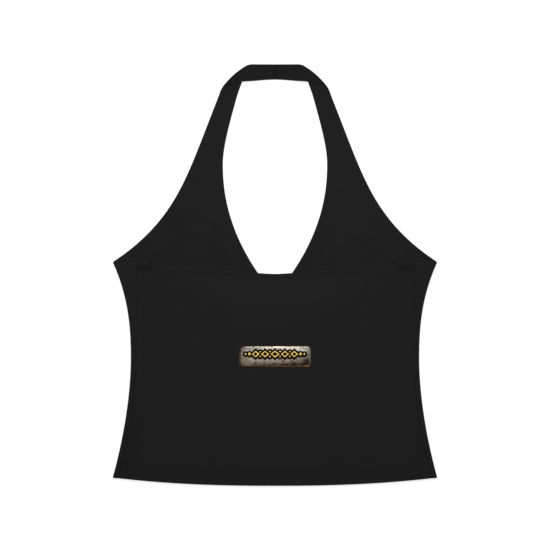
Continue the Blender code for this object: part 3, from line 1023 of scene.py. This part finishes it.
class Shading:
    """A material and its nodes, added one after the other."""

    def __init__(self, name):
        self.material = bpy.data.materials.new(name)
        self.material.use_nodes = True
        self.tree = self.material.node_tree

    def node(self, kind, inputs=(), **settings):
        made = self.tree.nodes.new("ShaderNode" + kind)
        for key, value in settings.items():
            setattr(made, key, value)
        for socket, value in dict(inputs).items():
            self.feed(made.inputs[socket], value)
        return made

    def feed(self, socket, value):
        if isinstance(value, bpy.types.NodeSocket):
            self.tree.links.new(value, socket)
        else:
            socket.default_value = value

    def set(self, **values):
        """Values of the shader's own sockets, with _ for a space in a name."""
        for name, value in values.items():
            self.feed(self.tree.nodes["Principled BSDF"].inputs[name.replace("_", " ")], value)

    def place(self):
        """Where a point of the surface is, in metres."""
        return self.node("TexCoord").outputs["Object"]

    def attribute(self, name, output="Fac"):
        return self.node("Attribute", attribute_name=name).outputs[output]

    def math(self, operation, *values):
        return self.node("Math", enumerate(values), operation=operation).outputs[0]

    def scaled(self, value, factor, offset=0):
        return self.math("MULTIPLY_ADD", value, factor, offset)

    def wave(self, turns, operation="SINE"):
        return self.math(operation, self.scaled(turns, 2 * math.pi))

    def average(self, first, second):
        return self.scaled(first, 0.5, self.scaled(second, 0.5))

    def spread(self, value, low, high, new_low=0, new_high=1):
        """Maps low..high smoothly to new_low..new_high."""
        inputs = {0: value, 1: low, 2: high, 3: new_low, 4: new_high}
        return self.node("MapRange", inputs, interpolation_type="SMOOTHSTEP").outputs[0]

    def blend(self, part, first, second):
        """Mixes two colours."""
        return self.node("Mix", {0: part, 6: first, 7: second}, data_type="RGBA").outputs[2]

    def times_painted_shading(self, colour):
        """A colour times the painted light and shade held on the mesh."""
        inputs = {0: colour, "Scale": self.attribute("painted_light_shade")}
        return self.node("VectorMath", inputs, operation="SCALE").outputs[0]

    def noise(self, vector, size, detail=2, roughness=0.5):
        """Cloudy values about 0.5, with features of a size in metres."""
        inputs = {"Vector": vector, "Scale": 1 / size, "Detail": detail, "Roughness": roughness}
        return self.node("TexNoise", inputs).outputs[0]

    def bump(self, height, depth, strength):
        inputs = {"Height": height, "Distance": depth, "Strength": strength}
        self.set(Normal=self.node("Bump", inputs).outputs["Normal"])


def knit_height(made, across, along, side):
    """Columns of V loops on the right side of the cloth, and purl rows on the wrong."""
    wale = made.math("DIVIDE", across, WALE)
    course = made.math("DIVIDE", along, COURSE)
    in_wale = made.math("PINGPONG", wale, 0.5)
    round_wale = made.math("SQRT", made.scaled(in_wale, 2))
    loop = made.wave(made.scaled(in_wale, LOOP_SLANT, course))
    loop = made.scaled(loop, LOOP_DEPTH, 1 - LOOP_DEPTH)
    plain = made.scaled(round_wale, loop)
    purl = made.wave(made.scaled(made.wave(wale, "COSINE"), PURL_ARC, course))
    purl = made.scaled(purl, PURL_DEPTH, 0.5)
    on_right = made.math("GREATER_THAN", side, 0)
    return made.node("Mix", {0: on_right, 2: purl, 3: plain}, data_type="FLOAT").outputs[0]


def jersey_material():
    """Plain knitted jersey, with its knit laid along the flat cut."""
    made = Shading("black_jersey_knit")
    cut = made.attribute("cut", "Vector")
    height = knit_height(made, *made.node("SeparateXYZ", {0: cut}).outputs)
    clouds = made.noise(cut, size=45 * MM, detail=3)
    fibres = made.noise(cut, size=0.9 * MM, detail=3)
    colour = made.blend(made.average(clouds, fibres), *JERSEY_TONES)
    # Painted shade down between the loops, where the knit is deep.
    colour = made.blend(height, JERSEY_LOOP_SHADE, colour)
    # Times the painted light and shade held on the mesh.
    made.set(Base_Color=made.times_painted_shading(colour), Roughness=made.spread(fibres, 0.3, 0.7, 0.82, 0.95))
    made.set(Specular_IOR_Level=0.08, Sheen_Weight=0.03, Sheen_Roughness=0.5)
    made.bump(height, depth=0.1 * MM, strength=0.6)
    return made.material


def black_material(name, tones, size, detail, roughness, specular, strength):
    """Thread or enamel, with fine grains in its colour, roughness and bump."""
    made = Shading(name)
    grains = made.noise(made.place(), size, detail)
    made.set(Base_Color=made.blend(grains, *tones), Specular_IOR_Level=specular)
    made.set(Roughness=made.spread(grains, 0.3, 0.7, *roughness))
    made.bump(grains, depth=0.05 * MM, strength=strength)
    return made.material


def pewter_colour_and_painted_light(made, x, height, mottled, grains):
    """Brown tarnish with painted light over it: a painted highlight makes it silvery at the upper
    rim, and painted shade makes it darker and browner downwards, less so towards the -X end.
    """
    steep = made.spread(x, -PLATE_HALF_X, 15 * MM, 0.4, 1)
    level = made.scaled(height, steep, made.scaled(mottled, 2.4, -0.7))
    colour = made.blend(made.spread(level, 0.02, 0.3), PEWTER_BROWN, PEWTER_GREY)
    colour = made.blend(made.spread(level, 0.3, 0.95), colour, PEWTER_SILVER)
    return made.blend(made.spread(grains, 0.34, 0.52), PEWTER_PIT, colour)


def stained(made, place, clouds, colour):
    """A dark stain with an uneven edge."""
    away = made.node("VectorMath", {0: place, 1: STAIN}, operation="DISTANCE").outputs["Value"]
    away = made.scaled(clouds, 5 * MM, away)
    return made.blend(made.spread(away, 4 * MM, 9 * MM, 0.85, 0), colour, STAIN_COLOUR)


def worn(made, x, height, clouds, grains, colour):
    """Bronze along the rim, wider at the -X end and along the lower rim."""
    inside = made.scaled(clouds, 2 * MM, made.attribute("rim"))
    end_wear = made.spread(x, -PLATE_HALF_X, 7 * MM - PLATE_HALF_X, -3.2 * MM, 0)
    low_wear = made.spread(height, -0.6, -0.3, -1.4 * MM, 0)
    inside = made.math("ADD", made.math("ADD", inside, end_wear), low_wear)
    bronze = made.blend(grains, *BRONZE_TONES)
    return made.blend(made.spread(inside, 1 * MM, 2.6 * MM, 0.9, 0), colour, bronze)


def pewter_material():
    """Aged pewter, with long scratches that run aslant."""
    made = Shading("aged_pewter_metal")
    place = made.place()
    x, y, _ = made.node("SeparateXYZ", {0: place}).outputs
    # From -0.6 at the lower rim to 0.6 at the upper one.
    height = made.scaled(made.math("SUBTRACT", y, PLATE_Y), 0.6 / PLATE_HALF_Y)
    clouds = made.noise(place, size=6 * MM, detail=4, roughness=0.6)
    grains = made.noise(place, size=1.3 * MM, detail=4, roughness=0.65)
    turned = made.node("VectorRotate", {"Vector": place, "Angle": -0.6}).outputs[0]
    long = made.node("VectorMath", {0: turned, 1: (1, 3, 1)}, operation="MULTIPLY").outputs[0]
    scratches = made.noise(long, size=7 * MM, detail=5, roughness=0.7)
    mottled = made.average(clouds, scratches)

    # A painted highlight and painted shade by height, over brown tarnish.
    colour = pewter_colour_and_painted_light(made, x, height, mottled, grains)
    colour = stained(made, place, clouds, colour)
    colour = worn(made, x, height, clouds, grains, colour)
    # Times the painted light and shade held on the mesh.
    made.set(Base_Color=made.times_painted_shading(colour), Metallic=1)
    made.set(Roughness=made.spread(mottled, 0.35, 0.65, 0.55, 0.32))
    made.bump(made.scaled(grains, 0.6, scratches), depth=0.16 * MM, strength=0.8)
    return made.material


def gold_material():
    """Old gilding, darker where it has rubbed."""
    made = Shading("old_gold")
    grains = made.noise(made.place(), size=1.1 * MM, detail=4, roughness=0.6)
    made.set(Base_Color=made.blend(made.spread(grains, 0.35, 0.6), *GOLD_TONES), Metallic=1)
    made.set(Roughness=made.spread(grains, 0.3, 0.7, 0.5, 0.3))
    made.bump(grains, depth=0.06 * MM, strength=0.5)
    return made.material


# ---- the stage
FLOOR_HALF = 12
FLOOR_Z = -0.2 * MM
FLOOR_GLOW = 0.7  # a light table, so that hardly any shadow shows
CAMERA_LENS = 85
CAMERA_SENSOR = 36
SEEN_WIDTH = 0.6875  # across the picture, at the top of the cloth
SEEN_Z = 3 * MM
FILL_STRENGTH = 0.66
KEY_POWER = 124
KEY_PLACE = (0, 1.8, 2.4)  # from where it points at the origin
KEY_SIZE = (2.5, 1.5)


def placed(name, data):
    made = bpy.data.objects.new(name, data)
    bpy.context.scene.collection.objects.link(made)
    return made


def make_floor():
    corners = ((-1, -1), (1, -1), (1, 1), (-1, 1))
    points = [(x * FLOOR_HALF, y * FLOOR_HALF, FLOOR_Z) for x, y in corners]
    mesh = new_mesh("floor", points, [(0, 1, 2, 3)])
    made = Shading("floor_white")
    made.set(Base_Color=grey(0.25), Roughness=0.9, Specular_IOR_Level=0)
    made.set(Emission_Color=grey(1), Emission_Strength=FLOOR_GLOW)
    mesh.materials.append(made.material)
    placed("floor", mesh)


def make_lights():
    world = bpy.data.worlds.new("studio")
    world.use_nodes = True
    colour, strength = world.node_tree.nodes["Background"].inputs[:2]
    colour.default_value = grey(1)
    strength.default_value = FILL_STRENGTH
    bpy.context.scene.world = world
    bpy.context.scene.view_settings.view_transform = "Standard"
    key = bpy.data.lights.new("key", "AREA")
    key.shape = "RECTANGLE"
    key.size, key.size_y = KEY_SIZE
    key.energy = KEY_POWER
    made = placed("key", key)
    made.location = KEY_PLACE
    made.rotation_euler = (-made.location).to_track_quat("-Z", "Y").to_euler()


def make_camera():
    camera = bpy.data.cameras.new("camera")
    camera.lens = CAMERA_LENS
    camera.sensor_width = CAMERA_SENSOR
    made = placed("camera", camera)
    made.location = (0, 0, SEEN_Z + SEEN_WIDTH * CAMERA_LENS / CAMERA_SENSOR)
    bpy.context.scene.camera = made


# ---- the pieces
def piece(mesh, material):
    mesh.materials.append(material)
    made = placed(mesh.name, mesh)
    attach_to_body(made, "root")
    return made


def cloth(name, rows, faces_up, jersey):
    grid = creased(mirrored_grid(rows, faces_up))
    return piece(wall_mesh(name, grid), jersey)


def make_cloth(jersey):
    front = cloth("front_cloth", front_rows(), False, jersey)
    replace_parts(front, "front_panel")
    back = cloth("back_cloth", back_rows(), True, jersey)
    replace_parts(back, "back_panel")


def make_sewing():
    top_half = seam_half(UNDERARM_Y) - TOP_STITCH_SHORT
    hem_half = seam_half(HEM_Y + HEM_STITCH_UP) - HEM_STITCH_SHORT
    thread = black_material("black_thread", THREAD_TONES, *THREAD_GRAINS)
    # Its darker colour is painted shade in the seams' grooves.
    seam_thread = black_material("seam_thread_painted_shade", SEAM_THREAD_SHADE_TONES, *THREAD_GRAINS)
    for name, shapes, material in (
        ("top_edge_stitches", stitches(top_half, lambda x: back_top_y(x) - TOP_STITCH_IN), thread),
        ("hem_stitches", stitches(hem_half, lambda x: hem_y(x) + HEM_STITCH_UP), thread),
        ("side_seam_threads", [side_seam_thread(1), side_seam_thread(-1)], seam_thread),
        ("neck_seam_thread", [neck_seam_thread()], seam_thread),
    ):
        piece(joined(name, shapes), material)


def make_plate():
    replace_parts(piece(plate_mesh(), pewter_material()), "name_plate")
    enamel = black_material("black_enamel", ENAMEL_TONES, *ENAMEL_GRAINS)
    piece(joined("plate_enamel", [inlay_shape()]), enamel)
    motifs = joined("plate_motifs", map(motif_shape, MOTIFS))
    motifs.shade_flat()
    piece(motifs, gold_material())


def main():
    make_camera()
    make_floor()
    make_lights()
    make_cloth(jersey_material())
    make_sewing()
    make_plate()


main()
